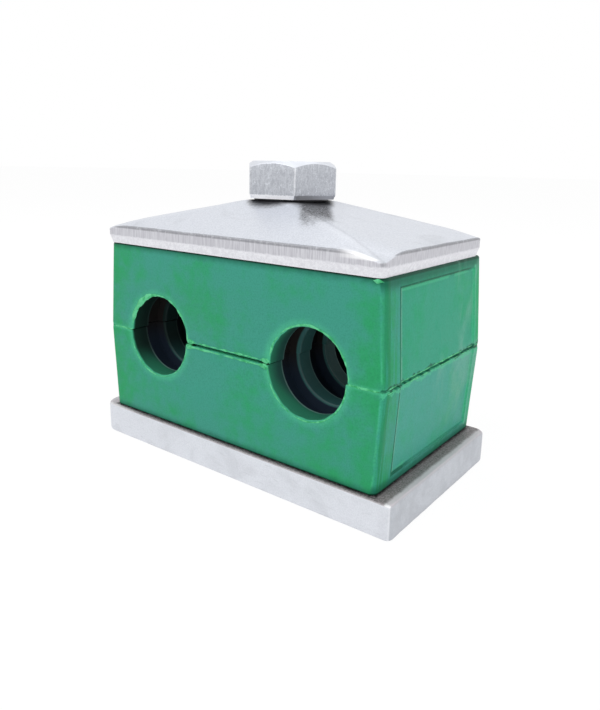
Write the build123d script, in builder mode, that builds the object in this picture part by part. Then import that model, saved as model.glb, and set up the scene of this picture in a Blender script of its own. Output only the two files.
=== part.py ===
import os
from math import atan, cos, pi, sin

from build123d import *

# Twin tube clamp for two 12.7 mm tubes, held by one M8 bolt that runs down between them.
# Millimetres. The origin is the centre of the weld plate's underside. X runs along the plate,
# Y along the tubes and Z up the bolt.

# Weld plate, cut from flat bar
plate_length = 57.0
plate_width = 31.0
plate_thickness = 5.0
plate_corner_radius = 0.8
plate_edge_chamfer = 0.4

# Clamp halves, one moulding used twice
body_length = 53.0
body_width = 30.0
half_height = 14.0
end_draft = 0.85
side_draft = 0.15
body_corner_radius = 1.0
body_edge_chamfer = 0.4
bolt_hole_radius = 4.5
nut_recess_radius = 8.5
nut_recess_depth = 7.0

# Sunk panel on each end of a half, a little nearer the back face
panel_width = 23.4
panel_shift = 0.9
panel_margin = 1.7
panel_depth = 0.25

# Tube seats
tube_radius = 6.35
tube_pitch = 29.0
groove_count = 4
groove_pitch = 6.6
groove_mouth = 3.9
groove_floor = 2.7
groove_depth = 1.5

# Thread, modelled smooth on its outer diameter
thread_radius = 3.95
thread_clearance = 0.05

# Weld nut
nut_across_flats = 14.0
nut_height = 6.5
nut_corner_drop = 0.6
nut_collar_radius = 5.25
nut_collar_height = 1.2
collar_clearance = 0.05

# Cover plate, a flat blank pressed into a low pyramid
cover_length = 51.6
cover_width = 30.8
cover_corner_radius = 0.9
cover_rim_height = 2.9
cover_bevel_height = 1.3
cover_bevel_inset = 0.35
cover_rise = 7.1
cover_sheet = 3.0
cover_foot = 3.2
seat_length = 14.0
seat_width = 13.6
corner_dip = 1.2
corner_dip_length = 4.8
corner_dip_width = 4.0
corner_cut_radius = 12.0
cover_hole_radius = 4.5

# Hex bolt
bolt_length = 40.0
head_across_flats = 13.0
head_height = 6.35
head_turn = 11.6
head_under_chamfer = 0.6
head_top_radius = 6.0
head_top_drop = 0.95
washer_face_radius = 5.75
washer_face_height = 0.3
bolt_tip_chamfer = 0.9

# Heights of the stack, from the weld plate up
parting_z = plate_thickness + half_height
body_top_z = parting_z + half_height
bevel_z = body_top_z + cover_bevel_height
rim_z = body_top_z + cover_rim_height
seat_z = body_top_z + cover_rise
overcut = 1.0
level_limit = 0.05

draft_angle = atan(end_draft / half_height)


def hex_corner(across_flats):
    return across_flats / 2 / cos(pi / 6)


def tapered_outline(lower_width, lower_z, upper_width, upper_z):
    # Symmetric side view of a block whose sides lean.
    return [
        (-lower_width / 2, lower_z),
        (lower_width / 2, lower_z),
        (upper_width / 2, upper_z),
        (-upper_width / 2, upper_z),
    ]


def cover_outline(blank_width, seat_width_there):
    # Side view of the cover: the rim leans in towards its underside, then the slopes rise.
    return [
        (-blank_width / 2 + cover_bevel_inset, body_top_z),
        (blank_width / 2 - cover_bevel_inset, body_top_z),
        (blank_width / 2, bevel_z),
        (blank_width / 2, rim_z),
        (seat_width_there / 2, seat_z),
        (-seat_width_there / 2, seat_z),
        (-blank_width / 2, rim_z),
        (-blank_width / 2, bevel_z),
    ]


def leaning_edges(part):
    # Edges that climb along the corners of a block, upright or sloping.
    return part.edges().filter_by(lambda edge: abs(edge.tangent_at(0.5).Z) > level_limit)


def groove_centres():
    first = -groove_pitch * (groove_count - 1) / 2
    return [first + groove_pitch * step for step in range(groove_count)]


def seat_outline(centre):
    # Half section of a tube seat: lands that bear on the tube, and relief grooves between them.
    reach = body_width / 2 + overcut
    wall = centre + tube_radius
    outline = [(centre, -reach), (wall, -reach)]
    for along in groove_centres():
        outline += [
            (wall, along - groove_mouth / 2),
            (wall + groove_depth, along - groove_floor / 2),
            (wall + groove_depth, along + groove_floor / 2),
            (wall, along + groove_mouth / 2),
        ]
    return outline + [(wall, reach), (centre, reach)]


with BuildPart() as weld_plate:
    with BuildSketch():
        RectangleRounded(plate_length, plate_width, plate_corner_radius)
        Circle(nut_collar_radius + collar_clearance, mode=Mode.SUBTRACT)
    extrude(amount=plate_thickness)
    outer_edges = [
        edge
        for face in (weld_plate.faces().sort_by(Axis.Z)[0], weld_plate.faces().sort_by(Axis.Z)[-1])
        for edge in face.outer_wire().edges()
    ]
    chamfer(outer_edges, plate_edge_chamfer)


with BuildPart() as weld_nut:
    # The collar stands in the plate's hole and the hexagon on top of the plate.
    with BuildSketch(Plane.XY.offset(plate_thickness)):
        RegularPolygon(hex_corner(nut_across_flats), 6)
    extrude(amount=nut_height)
    with BuildSketch(Plane.XZ):
        with BuildLine():
            Polyline(
                (0, plate_thickness),
                (hex_corner(nut_across_flats), plate_thickness),
                (hex_corner(nut_across_flats), plate_thickness + nut_height - nut_corner_drop),
                (nut_across_flats / 2, plate_thickness + nut_height),
                (0, plate_thickness + nut_height),
                close=True,
            )
        make_face()
    revolve(axis=Axis.Z, mode=Mode.INTERSECT)
    with BuildSketch(Plane.XY.offset(plate_thickness - nut_collar_height)):
        Circle(nut_collar_radius)
    extrude(amount=nut_collar_height)
    with BuildSketch(Plane.XY.offset(plate_thickness - nut_collar_height)):
        Circle(thread_radius + thread_clearance)
    extrude(amount=nut_collar_height + nut_height, mode=Mode.SUBTRACT)


with BuildPart() as lower_clamp_half:
    # Widest at the parting plane, and drafted towards the outer face that sits on the plate.
    with BuildSketch(Plane.XZ):
        with BuildLine():
            Polyline(
                *tapered_outline(body_length - 2 * end_draft, plate_thickness, body_length, parting_z),
                close=True,
            )
        make_face()
    extrude(amount=body_width, both=True)
    with BuildSketch(Plane.YZ):
        with BuildLine():
            Polyline(
                *tapered_outline(body_width - 2 * side_draft, plate_thickness, body_width, parting_z),
                close=True,
            )
        make_face()
    extrude(amount=body_length, both=True, mode=Mode.INTERSECT)
    fillet(leaning_edges(lower_clamp_half), body_corner_radius)
    chamfer(lower_clamp_half.faces().sort_by(Axis.Z)[0].edges(), body_edge_chamfer)

    # Sunk end panels, open at the parting plane.
    panel_height = half_height - panel_margin
    for end in (-1, 1):
        end_plane = Plane(
            origin=(end * body_length / 2, 0, parting_z),
            x_dir=(0, end, 0),
            z_dir=(end * cos(draft_angle), 0, -sin(draft_angle)),
        )
        with BuildSketch(end_plane):
            with Locations((end * panel_shift, -panel_height)):
                Rectangle(panel_width, panel_height + overcut, align=(Align.CENTER, Align.MIN))
        extrude(amount=-panel_depth, mode=Mode.SUBTRACT)

    # Bolt hole and the recess that clears the weld nut.
    with BuildSketch(Plane.XY.offset(plate_thickness)):
        Circle(bolt_hole_radius)
    extrude(amount=half_height, mode=Mode.SUBTRACT)
    with BuildSketch(Plane.XY.offset(plate_thickness)):
        Circle(nut_recess_radius)
    extrude(amount=nut_recess_depth, mode=Mode.SUBTRACT)

    # Two ribbed tube seats, half in each moulding.
    for centre in (-tube_pitch / 2, tube_pitch / 2):
        with BuildSketch(Plane.XY.offset(parting_z)):
            with BuildLine():
                Polyline(*seat_outline(centre), close=True)
            make_face()
        revolve(axis=Axis((centre, 0, parting_z), (0, 1, 0)), mode=Mode.SUBTRACT)


with BuildPart() as upper_clamp_half:
    # The same moulding, turned over about Y onto the parting plane.
    with Locations((0, 0, 2 * parting_z)):
        add(lower_clamp_half.part, rotation=(0, 180, 0))


with BuildPart() as cover_hollow:
    # The space under the cover, which follows its slopes at the sheet's thickness.
    hollow_z = seat_z - cover_sheet
    hollow_length = cover_length - 2 * (cover_bevel_inset + cover_foot)
    hollow_width = cover_width - 2 * (cover_bevel_inset + cover_foot)
    with BuildSketch(Plane.XZ):
        with BuildLine():
            Polyline(*tapered_outline(hollow_length, body_top_z, seat_length, hollow_z), close=True)
        make_face()
    extrude(amount=cover_width, both=True)
    with BuildSketch(Plane.YZ):
        with BuildLine():
            Polyline(*tapered_outline(hollow_width, body_top_z, seat_width, hollow_z), close=True)
        make_face()
    extrude(amount=cover_length, both=True, mode=Mode.INTERSECT)


with BuildPart() as cover_plate:
    # Seen from each side it is a sheared rim with two slopes up to the flat seat under the bolt
    # head. Where the two views cross, they leave a low pyramid.
    with BuildSketch(Plane.XZ):
        with BuildLine():
            Polyline(*cover_outline(cover_length, seat_length), close=True)
        make_face()
    extrude(amount=cover_width, both=True)
    with BuildSketch(Plane.YZ):
        with BuildLine():
            Polyline(*cover_outline(cover_width, seat_width), close=True)
        make_face()
    extrude(amount=cover_length, both=True, mode=Mode.INTERSECT)
    fillet(leaning_edges(cover_plate), cover_corner_radius)

    # The pressing drags the four corners down, so the rim thins out at each of them.
    for side_x in (-1, 1):
        for side_y in (-1, 1):
            corner = Vector(side_x * cover_length / 2, side_y * cover_width / 2, rim_z - corner_dip)
            along = Vector(-side_x * corner_dip_length, 0, corner_dip)
            across = Vector(0, -side_y * corner_dip_width, corner_dip)
            upward = along.cross(across) * (side_x * side_y)
            with BuildSketch(Plane(origin=corner, x_dir=along, z_dir=upward)):
                Circle(corner_cut_radius)
            extrude(amount=cover_rise, mode=Mode.SUBTRACT)

    add(cover_hollow.part, mode=Mode.SUBTRACT)
    with BuildSketch(Plane.XY.offset(body_top_z)):
        Circle(cover_hole_radius)
    extrude(amount=cover_rise, mode=Mode.SUBTRACT)


with BuildPart() as hex_bolt:
    head_corner = hex_corner(head_across_flats)
    head_top_z = seat_z + head_height
    hex_base_z = seat_z + washer_face_height

    # Hexagon, chamfered along its lower edges and rounded off by a cone above.
    with BuildSketch(Plane.XY.offset(hex_base_z)):
        RegularPolygon(head_corner, 6, rotation=head_turn)
    extrude(amount=head_top_z - hex_base_z)
    chamfer(hex_bolt.faces().sort_by(Axis.Z)[0].edges(), head_under_chamfer)
    with BuildSketch(Plane.XZ):
        with BuildLine():
            Polyline(
                (0, hex_base_z),
                (head_corner, hex_base_z),
                (head_corner, head_top_z - head_top_drop),
                (head_top_radius, head_top_z),
                (0, head_top_z),
                close=True,
            )
        make_face()
    revolve(axis=Axis.Z, mode=Mode.INTERSECT)

    # Washer face and shank.
    tip_z = seat_z - bolt_length
    with BuildSketch(Plane.XZ):
        with BuildLine():
            Polyline(
                (0, tip_z),
                (thread_radius - bolt_tip_chamfer, tip_z),
                (thread_radius, tip_z + bolt_tip_chamfer),
                (thread_radius, seat_z),
                (washer_face_radius, seat_z),
                (washer_face_radius, hex_base_z),
                (0, hex_base_z),
                close=True,
            )
        make_face()
    revolve(axis=Axis.Z)


os.makedirs("parts", exist_ok=True)

weld_plate.part.label = "weld_plate"
export_step(weld_plate.part, "parts/weld_plate.step")

weld_nut.part.label = "weld_nut"
export_step(weld_nut.part, "parts/weld_nut.step")

lower_clamp_half.part.label = "lower_clamp_half"
export_step(lower_clamp_half.part, "parts/lower_clamp_half.step")

upper_clamp_half.part.label = "upper_clamp_half"
export_step(upper_clamp_half.part, "parts/upper_clamp_half.step")

cover_plate.part.label = "cover_plate"
export_step(cover_plate.part, "parts/cover_plate.step")

hex_bolt.part.label = "hex_bolt"
export_step(hex_bolt.part, "parts/hex_bolt.step")
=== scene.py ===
from math import asin, atan2, cos, degrees, pi, radians, sin, sqrt
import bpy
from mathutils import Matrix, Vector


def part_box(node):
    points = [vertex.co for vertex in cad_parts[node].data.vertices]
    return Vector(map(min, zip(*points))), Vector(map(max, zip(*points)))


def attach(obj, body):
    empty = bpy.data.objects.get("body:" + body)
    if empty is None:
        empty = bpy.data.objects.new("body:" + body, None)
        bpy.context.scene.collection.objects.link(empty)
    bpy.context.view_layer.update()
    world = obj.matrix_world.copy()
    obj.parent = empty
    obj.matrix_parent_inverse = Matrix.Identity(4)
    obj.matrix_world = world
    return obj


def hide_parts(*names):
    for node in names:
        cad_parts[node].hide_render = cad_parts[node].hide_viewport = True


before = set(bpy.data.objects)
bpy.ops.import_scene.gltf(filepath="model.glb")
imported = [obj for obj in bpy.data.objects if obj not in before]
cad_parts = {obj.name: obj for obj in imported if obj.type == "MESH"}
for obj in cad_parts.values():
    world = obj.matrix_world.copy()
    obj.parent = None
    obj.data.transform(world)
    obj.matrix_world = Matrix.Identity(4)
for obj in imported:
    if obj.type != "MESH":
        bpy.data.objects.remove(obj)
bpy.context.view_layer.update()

from types import SimpleNamespace

import bmesh
import bpy
from mathutils import Vector, noise

scene = bpy.context.scene
mm = 0.001

# the stack's heights and plan sizes, in millimetres, as the frame gives them
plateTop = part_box("weld_plate")[1].z / mm
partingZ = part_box("lower_clamp_half")[1].z / mm
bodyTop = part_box("upper_clamp_half")[1].z / mm
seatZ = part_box("cover_plate")[1].z / mm
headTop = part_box("hex_bolt")[1].z / mm
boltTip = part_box("hex_bolt")[0].z / mm
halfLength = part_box("lower_clamp_half")[1].x / mm
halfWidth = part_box("lower_clamp_half")[1].y / mm


# shaping helpers
def clamped(value, low=0.0, high=1.0):
    return max(low, min(high, value))


def eased(value):
    value = clamped(value)
    return value * value * (3 - 2 * value)


def pulledIn(distance, radius):  # how far a rounded edge has drawn back, this far from the face
    if distance >= radius:
        return 0.0
    return radius - sqrt(max(0.0, radius * radius - (radius - distance) ** 2))


def softLow(first, second, blend):  # the lower of two heights, with the crease between them rounded
    share = clamped(0.5 + 0.5 * (second - first) / blend)
    return second + (first - second) * share - blend * share * (1 - share)


def wobble(x, y, z, scale, seed=0.0):
    return noise.noise(Vector((x * scale + seed, y * scale - seed, z * scale + 0.7 * seed)))


def addSkin(bm, rings, wrap=False, caps=False):
    rows = [[bm.verts.new(Vector(point) * mm) for point in ring] for ring in rings]
    count = len(rows[0])
    pairs = list(zip(rows, rows[1:])) + ([(rows[-1], rows[0])] if wrap else [])
    for first, second in pairs:
        for i in range(count):
            j = (i + 1) % count
            bm.faces.new((first[i], first[j], second[j], second[i]))
    if caps:
        bm.faces.new(rows[0][::-1])
        bm.faces.new(rows[-1])


def addObject(name, data):
    made = bpy.data.objects.new(name, data)
    scene.collection.objects.link(made)
    return made


def smoothPiece(piece, crease):
    piece.data.shade_smooth()
    piece.data.set_sharp_from_angle(angle=radians(crease))


def makePiece(name, bm, crease=35):
    bmesh.ops.recalc_face_normals(bm, faces=bm.faces[:])
    mesh = bpy.data.meshes.new(name)
    bm.to_mesh(mesh)
    bm.free()
    piece = addObject(name, mesh)
    smoothPiece(piece, crease)
    return piece


def skinPiece(name, rings, crease=35, **closing):
    bm = bmesh.new()
    addSkin(bm, rings, **closing)
    return makePiece(name, bm, crease)


def cutWith(piece, cutter):
    cut = piece.modifiers.new("cut", "BOOLEAN")
    cut.operation = "DIFFERENCE"
    cut.solver = "EXACT"
    cut.object = cutter
    bpy.context.view_layer.update()
    shaped = bpy.data.meshes.new_from_object(piece.evaluated_get(bpy.context.evaluated_depsgraph_get()))
    piece.modifiers.clear()
    piece.data = shaped
    bpy.data.objects.remove(cutter)


def settle(piece, body, finish, node=None):
    piece.data.materials.clear()
    piece.data.materials.append(finish)
    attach(piece, body)
    if node:
        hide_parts(node)
    print("made", piece.name, len(piece.data.polygons), "faces")


def mathStep(operation, swapped=False):
    def step(self, value):
        return self.calc(operation, *((value, self) if swapped else (self, value)))

    return step


class Wire:  # a node's output that sums like a number
    def __init__(self, finish, socket):
        self.finish = finish
        self.socket = socket

    def calc(self, operation, *values):
        return self.finish.add("Math", {"operation": operation}, dict(enumerate(values)))

    def other(self, output):
        return Wire(self.finish, self.socket.node.outputs[output])

    def __abs__(self):
        return self.calc("ABSOLUTE", self)

    __add__, __radd__ = mathStep("ADD"), mathStep("ADD", True)
    __sub__, __rsub__ = mathStep("SUBTRACT"), mathStep("SUBTRACT", True)
    __mul__, __rmul__ = mathStep("MULTIPLY"), mathStep("MULTIPLY", True)
    __truediv__, __rtruediv__ = mathStep("DIVIDE"), mathStep("DIVIDE", True)
    __pow__, __gt__, __lt__ = mathStep("POWER"), mathStep("GREATER_THAN"), mathStep("LESS_THAN")
    least, most = mathStep("MINIMUM"), mathStep("MAXIMUM")


class Finish:  # one node tree, written as sums on wires
    def __init__(self, owner):
        owner.use_nodes = True
        self.owner = owner
        self.colour = None
        self.tree = owner.node_tree
        self.tree.nodes.clear()

    def add(self, kind, settings=None, sockets=None, output=0):
        node = self.tree.nodes.new("ShaderNode" + kind)
        for name, value in (settings or {}).items():
            setattr(node, name, value)
        for name, value in (sockets or {}).items():
            if isinstance(value, Wire):
                self.tree.links.new(value.socket, node.inputs[name])
            else:
                node.inputs[name].default_value = value
        return Wire(self, node.outputs[output]) if node.outputs else node

    def place(self, stretch=(1, 1, 1)):  # where a point is on the piece, in millimetres
        here = self.add("TexCoord").other("Object")
        return self.add("VectorMath", {"operation": "MULTIPLY"}, {0: here, 1: [s / mm for s in stretch]})

    def axes(self, vector):
        parts = self.add("SeparateXYZ", None, {0: vector})
        return parts, parts.other(1), parts.other(2)

    def facing(self):
        return self.axes(self.add("TexCoord").other("Normal"))

    def grain(self, scale, detail=3.0, rough=0.6, stretch=(1, 1, 1), twist=0.0):
        sockets = {"Vector": self.place(stretch), "Scale": scale, "Detail": detail}
        sockets.update({"Roughness": rough, "Distortion": twist})
        return self.add("TexNoise", None, sockets)

    def span(self, value, low, high, start=0.0, end=1.0):
        sockets = {0: value, 1: low, 2: high, 3: start, 4: end}
        return self.add("MapRange", {"interpolation_type": "SMOOTHSTEP"}, sockets)

    def fade(self, value, low, high):  # 1 below the first value, 0 past the second
        return 1 - self.span(value, low, high)

    def line(self, value, place, near, far):  # 1 near one place, 0 further off on both sides
        return self.fade(abs(value - place), near, far)

    def tint(self, factor, first, second):
        sockets = {0: factor}
        for index, colour in ((6, first), (7, second)):
            sockets[index] = colour if isinstance(colour, Wire) else (*colour, 1.0)
        return self.add("Mix", {"data_type": "RGBA"}, sockets, 2)

    def coat(self, tone, share):  # another tone laid over the colour so far
        self.colour = self.tint(share, self.colour, tone)

    def close(self, roughness, metallic=0.0, height=None, fixed=None):
        sockets = {"Base Color": self.colour, "Roughness": roughness, "Metallic": metallic}
        sockets.update(fixed or {})
        if height is not None:  # a height in millimetres
            sockets["Normal"] = self.add("Bump", None, {"Strength": 1.0, "Distance": mm, "Height": height})
        shader = self.add("BsdfPrincipled", None, sockets)
        self.add("OutputMaterial", None, {0: shader})
        return self.owner


# green moulding, used for both clamp halves
moulding = {
    "outerHalf": 14.0,
    "endDraft": 0.85,
    "sideDraft": 0.15,
    "cornerRound": 1.0,
    "outerRound": 0.35,
    "partingRound": 0.1,
    "gap": 0.21,
    "outerGap": 0.03,
    "gapDepth": 2.2,
    "lipReach": 0.5,
    "cornerReach": 3.0,
    "mouthRound": 0.12,
    "panelFrom": -10.8,
    "panelTo": 12.6,
    "panelDeep": 12.3,
    "panelSink": 0.25,
    "panelWall": 0.12,
    "boreRadius": 6.35,
    "borePitch": 29.0,
    "grooves": (-9.9, -3.3, 3.3, 9.9),
    "grooveMouth": 1.95,
    "grooveFloor": 1.35,
    "grooveDepth": 1.5,
    "boltHole": 4.5,
    "nutRecess": 8.5,
    "nutRecessFrom": 7.0,
    "boreShift": (0.0, 0.3),
    "mouthTooth": 0.13,
    "toothDepth": 0.9,
    "unevenness": 0.03,
    # where the cross sections stand: this far in from both faces, and on the lands
    "faceSteps": (0, 0.012, 0.035, 0.07, 0.12, 0.2, 0.32, 0.5, 0.75, 1.0, 1.5, 2.2),
    "landSteps": (-6.6, -0.7, 0.0, 0.7, 6.6),
    "grooveStep": 0.7,
    "slopeParts": 6,
    # points of a cross section: across the banks, between the seats, in a seat, along the outside
    "bankParts": 8,
    "bankCrowding": 0.8,
    "middleParts": 15,
    "boreParts": 72,
    "outsideParts": 30,
}


def boreRadiusAt(y):
    m = moulding
    deepest = 0.0
    for centre in m["grooves"]:
        rise = (m["grooveMouth"] - abs(y - centre)) / (m["grooveMouth"] - m["grooveFloor"])
        deepest = max(deepest, eased(rise))
    return m["boreRadius"] + m["grooveDepth"] * deepest


def mouldingStations():
    m = moulding
    stations = set(m["landSteps"])
    for inward in m["faceSteps"]:
        stations.update((-halfWidth + inward, halfWidth - inward))
    for centre in m["grooves"]:
        for part in range(m["slopeParts"] + 1):
            off = m["grooveFloor"] + (m["grooveMouth"] - m["grooveFloor"]) * part / m["slopeParts"]
            stations.update((centre - off, centre + off))
        stations.update((centre, centre - m["grooveStep"], centre + m["grooveStep"]))
    stations.update((m["panelFrom"], m["panelFrom"] - m["panelWall"]))
    stations.update((m["panelTo"], m["panelTo"] + m["panelWall"]))
    return sorted(stations)


def gapAt(x, inward):  # the halves only touch inside, so a thin gap shows round the outside
    m = moulding
    between = m["borePitch"] / 2 - m["boreRadius"]
    beyond = m["borePitch"] / 2 + m["boreRadius"]
    front = m["gap"] if abs(x) < between + m["lipReach"] else m["outerGap"]
    endIn = halfLength - abs(x)
    width = m["gap"] if endIn < inward else front
    if abs(x) > beyond and max(inward, endIn) < m["cornerReach"]:
        width = m["outerGap"]
    return width * (1 - eased(min(inward, endIn) / m["gapDepth"]))


def endFaceX(y, depth):  # how far out the end face stands at this depth from the parting line
    m = moulding
    inward = halfWidth - abs(y)
    alongPanel = clamped(min(y - m["panelFrom"], m["panelTo"] - y) / m["panelWall"] + 1)
    panel = clamped((m["panelDeep"] + m["panelWall"] - depth) / m["panelWall"]) * alongPanel
    x = halfLength - m["endDraft"] * depth / m["outerHalf"] - pulledIn(inward, m["cornerRound"])
    x -= m["panelSink"] * panel
    fromLip = depth - pulledIn(inward, m["partingRound"]) - m["gap"]
    fromOutside = m["outerHalf"] - pulledIn(inward, m["outerRound"]) - depth
    x -= pulledIn(max(0.0, fromLip), m["partingRound"])
    return x - pulledIn(max(0.0, fromOutside), m["outerRound"])


def seatArc(y, middle, bore, seed):  # half a tube seat, with its mouth slightly torn
    m = moulding
    inward = halfWidth - abs(y)
    start = asin(clamped((pulledIn(inward, m["partingRound"]) + m["gap"]) / bore, 0, 0.5)) * 0.6
    tooth = m["mouthTooth"] * (1 - eased(inward / m["toothDepth"]))
    points = []
    for i in range(m["boreParts"] + 1):
        turn = start + (pi - 2 * start) * i / m["boreParts"]
        reach = bore + tooth * (wobble(cos(turn), sin(turn), middle, 6.0, seed) - 0.1)
        points.append((middle - reach * cos(turn), reach * sin(turn)))
    return points


def partingFace(y, shift, seed):  # across the parting face and both seats, as places and depths
    m = moulding
    inward = halfWidth - abs(y)
    rounding = pulledIn(inward, m["partingRound"])
    bore = boreRadiusAt(y) + pulledIn(inward, m["mouthRound"])
    left, right = -m["borePitch"] / 2 + shift, m["borePitch"] / 2 + shift
    end = endFaceX(y, rounding + gapAt(halfLength, inward))
    parts, crowding = m["bankParts"], m["bankCrowding"]
    gap = right - left - 2 * bore - 0.2
    first = [-end + (left - bore + end) * (i / parts) ** crowding for i in range(parts)]
    middle = [left + bore + 0.1 + gap * i / m["middleParts"] for i in range(m["middleParts"] + 1)]
    last = [end - (end - right - bore) * ((parts - 1 - i) / parts) ** crowding for i in range(parts)]

    def level(places):
        return [(x, rounding + gapAt(x, inward)) for x in places]

    seats = seatArc(y, left, bore, seed), seatArc(y, right, bore, seed)
    return level(first) + seats[0] + level(middle) + seats[1] + level(last)


def outerFaces(y):  # down the right end, along the outside and up the left end
    m = moulding
    inward = halfWidth - abs(y)
    outer = m["outerHalf"] - pulledIn(inward, m["outerRound"])
    top = pulledIn(inward, m["partingRound"]) + gapAt(halfLength, inward)
    depths = [top + 0.03, top + 0.07, top + 0.12, 0.5, 1.0]
    depths += [2.0 + i for i in range(10)]
    depths += [m["panelDeep"] - 0.3, m["panelDeep"], m["panelDeep"] + m["panelWall"], 12.9, 13.3]
    depths = [depth for depth in depths if depth < outer - 0.46]
    depths += [outer - m["outerRound"] * (1 - sin(pi / 2 * i / 5)) for i in range(6)]
    down = [(endFaceX(y, depth), depth) for depth in depths]
    reach = down[-1][0]
    parts = m["outsideParts"]
    across = [(reach - 2 * reach * i / parts, outer) for i in range(1, parts)]
    return down + across + [(-x, depth) for x, depth in reversed(down)]


def mouldingRing(y, shift, seed):
    m = moulding
    points = []
    for x, depth in partingFace(y, shift, seed) + outerFaces(y):
        drafted = y * (1 - m["sideDraft"] * depth / m["outerHalf"] / halfWidth)
        lean = m["unevenness"] * wobble(x, drafted, depth, 0.16, seed)
        points.append((x + lean, drafted, depth))
    return points


def makeMoulding(name, upward, seed):
    m = moulding
    side = 1 if upward else -1
    stations = mouldingStations()
    rings = []
    for y in stations:
        ring = mouldingRing(y, m["boreShift"][upward], seed)
        rings.append([(x, along, partingZ + side * depth) for x, along, depth in ring])
    piece = skinPiece(name, rings, caps=True)
    # the bolt hole, wider from the nut's recess outwards
    step, end = m["nutRecessFrom"], m["outerHalf"] + 2
    profile = [(m["boltHole"], -1), (m["boltHole"], step), (m["nutRecess"], step), (m["nutRecess"], end)]
    turns = [2 * pi * i / m["boreParts"] for i in range(m["boreParts"])]
    rings = [[(r * cos(t), r * sin(t), partingZ + side * depth) for t in turns] for r, depth in profile]
    cutWith(piece, skinPiece(name + "Cutter", rings, caps=True))
    smoothPiece(piece, 28)
    return piece


# ragged flash along the parting line and round the tube mouths
flash = {
    "size": 0.15,
    "ragged": 1.2,
    "leastCalm": 0.3,
    "swell": (0.12, 2.0),
    "step": 0.22,
    "sides": 8,
    "noises": (0.62, 1.9, 1.2),  # coarse, fine and sideways
    "openOffset": 0.42,
    "closedOffset": 0.07,
    # shares of the size: round a lower mouth, on the left, middle and right lips, across the ends
    "mouthShare": 0.7,
    "lipShares": (0.5, 1.0, 0.7),
    "endShare": 0.7,
    # web left across the upper left mouth
    "web": 0.46,
    "webTurn": 132,
    "webSpread": 50,
    # lumps where the middle lip meets the mouths
    "lump": 3.0,
    "lumpReach": 2.2,
    # burr on the front right corner, under the cover: out, in and down from the corner
    "burr": 0.3,
    "burrFrom": (-1.15, 0.03, 0.3),
    "burrTo": (0.35, 0.08, 0.4),
}


def rag(bm, path, outward, sizes, seed, flatness=0.6):
    coarse, fine, sideways = flash["noises"]
    rings = []
    for i, point in enumerate(path):
        before, after = path[max(0, i - 1)], path[min(len(path) - 1, i + 1)]
        along = (after - before).normalized()
        across = along.cross(outward).normalized()
        size = sizes[i] if isinstance(sizes, list) else sizes
        calm = clamped(flash["size"] * 1.3 / size, flash["leastCalm"], 1.0)  # wide flash is less ragged
        rough = noise.noise(point * coarse + Vector((seed, 0, 0))) + 0.5 * noise.noise(point * fine)
        swell = size * clamped(0.75 + flash["ragged"] * calm * rough, *flash["swell"])
        swell *= eased(min(i, len(path) - 1 - i) / 3 + 0.15)
        stray = noise.noise(point * sideways + Vector((0, seed, 0)))
        middle = point + across * 0.4 * size * calm * stray
        ring = []
        for k in range(flash["sides"]):
            turn = 2 * pi * k / flash["sides"]
            ring.append(middle + across * swell * cos(turn) + outward * swell * flatness * sin(turn))
        rings.append(ring)
    addSkin(bm, rings, caps=True)


def straightPath(start, end):
    start, end = Vector(start), Vector(end)
    count = max(2, int((end - start).length / flash["step"]))
    return [start.lerp(end, i / count) for i in range(count + 1)]


def ragMouth(bm, face, place, upward, seed):
    m, f = moulding, flash
    side, shift = (1 if upward else -1), m["boreShift"][upward]
    rim, sizes = [], []
    for i in range(91):
        turn = pi * i / 90
        web = eased(1 - abs(degrees(turn) - f["webTurn"]) / f["webSpread"]) if upward and place < 0 else 0.0
        reach = m["boreRadius"] + 0.12 - 0.1 * web
        x, z = place + shift + reach * cos(turn), partingZ + side * (0.1 + reach * sin(turn))
        rim.append(Vector((x, face * (halfWidth - 0.02), z)))
        sizes.append(f["size"] * (1.0 if upward else f["mouthShare"]) + f["web"] * web)
    rag(bm, rim, Vector((0, face, 0)), sizes, seed + place, 0.3)


def ragLips(bm, face, upward, seed):
    m, f = moulding, flash
    side, shift = (1 if upward else -1), m["boreShift"][upward]
    near, far = m["borePitch"] / 2 - m["boreRadius"], m["borePitch"] / 2 + m["boreRadius"]
    spans = ((-halfLength + 1.0, -far), (-near, near), (far, halfLength - 1.0))
    for (first, last), share in zip(spans, f["lipShares"]):
        middle = last == near
        y, z = face * (halfWidth - 0.02), partingZ + side * f["openOffset" if middle else "closedOffset"]
        path = straightPath((first + shift, y, z), (last + shift, y, z))
        sizes = []
        for i in range(len(path)):
            fromEnd = min(i, len(path) - 1 - i) * f["step"] / f["lumpReach"]
            sizes.append(f["size"] * (share + f["lump"] * eased(1 - fromEnd) * middle))
        rag(bm, path, Vector((0, face, 0)), sizes, seed)


def ragEnd(bm, face, upward, seed):
    m, f = moulding, flash
    wall = halfWidth - 0.8
    z = partingZ + (1 if upward else -1) * f["openOffset"] * 0.7
    x = face * (halfLength - 0.04)
    sunk = x - face * m["panelSink"]
    for across, first, last in (
        (x, -wall, m["panelFrom"]),
        (sunk, m["panelFrom"], m["panelTo"]),
        (x, m["panelTo"], wall),
    ):
        path = straightPath((across, first, z), (across, last, z))
        rag(bm, path, Vector((face, 0, 0)), f["size"] * f["endShare"], seed)


def makeFlash(name, upward, seed):
    m, f = moulding, flash
    bm = bmesh.new()
    for face in (-1, 1):
        for place in (-m["borePitch"] / 2, m["borePitch"] / 2):
            ragMouth(bm, face, place, upward, seed)
        ragLips(bm, face, upward, seed)
    for face in (-1, 1):
        ragEnd(bm, face, upward, seed)
    if upward:
        corner = Vector((halfLength - m["endDraft"] - m["outerRound"], -halfWidth, bodyTop))
        start, end = [corner + Vector((x, y, -z)) for x, y, z in (f["burrFrom"], f["burrTo"])]
        rag(bm, straightPath(start, end), Vector((0, -1, 0)), f["burr"], seed, 0.4)
    return makePiece(name, bm, 60)


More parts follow.
